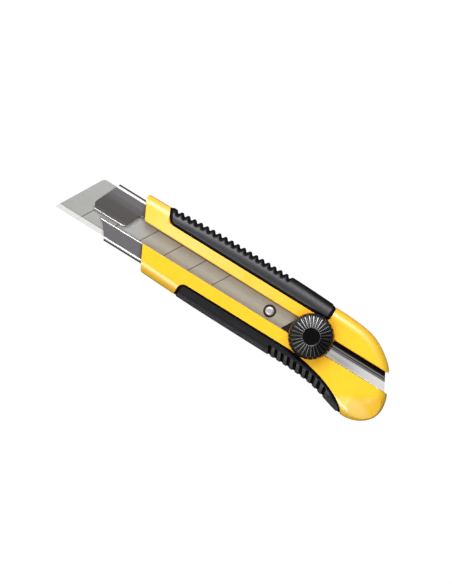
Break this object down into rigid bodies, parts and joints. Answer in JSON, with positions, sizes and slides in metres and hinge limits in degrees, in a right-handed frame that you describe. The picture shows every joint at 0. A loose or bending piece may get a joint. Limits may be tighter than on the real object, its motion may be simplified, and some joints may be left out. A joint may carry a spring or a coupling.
{
  "type": "snap off utility knife",
  "caption": "Heavy snap-off utility knife: moulded handle with soft grips, folded steel blade channel, segmented blade and a screw-down lock wheel on a sliding carriage.",
  "frame": {"origin": "on the flat back of the handle, on the channel's centre line, a third of the handle's length ahead of the butt; the handle's back is z = 0", "axes": "-X towards the blade's point, +Y towards the blade's spine, +Z out of the slotted face"},
  "size_m": [0.196, 0.0469, 0.0246],
  "materials": {
    "shell_yellow": "moulded, satin gloss",
    "grip_black": "fine matt texture",
    "channel_steel": "bright rolled stainless",
    "blade_steel": "ground, fine cross grain",
    "carrier_black": "moulded",
    "wheel_black": "moulded, satin",
    "cap_black": "moulded, fine matt",
    "washer_white": "acetal",
    "plated_steel": "zinc plated",
    "rivet_steel": "polished",
    "spring_steel": "drawn wire",
    "insert_brass": "turned"
  },
  "bodies": {
    "handle": {"front_shell": "shell_yellow", "back_shell": "shell_yellow", "upper_grip": "grip_black", "lower_grip": "grip_black", "blade_channel": "channel_steel", "channel_screws": "plated_steel", "shell_screws": "plated_steel"},
    "carriage": {"snap_off_blade": "blade_steel", "blade_carrier": "carrier_black", "clamp_plate": "plated_steel", "carrier_rivet": "rivet_steel", "clamp_bolt": "plated_steel", "stop_clip": "spring_steel", "release_spring": "spring_steel"},
    "clamp_shoe": {"slide_shoe": "carrier_black", "thrust_washer": "washer_white"},
    "lock_wheel": {"lock_wheel": "wheel_black", "wheel_insert": "insert_brass", "wheel_cap": "cap_black"}
  },
  "joints": [
    {"name": "carriage_slide", "type": "slide", "parent": "handle", "child": "carriage", "axis": [-1, 0, 0], "range_m": [-0.03, 0.068]},
    {"name": "clamp_lift", "type": "slide", "parent": "carriage", "child": "clamp_shoe", "axis": [0, 0, 1], "range_m": [0, 0.00125], "deforming": ["release_spring"]},
    {"name": "wheel_turn", "type": "hinge", "parent": "clamp_shoe", "child": "lock_wheel", "pos_m": [0.0291, -0.00045, 0.0175], "axis": [0, 0, 1], "range_deg": [0, 540]}
  ],
  "couplings": [
    {"joint": "clamp_lift", "follows": "wheel_turn", "m_per_rad": 0.00012732}
  ]
}
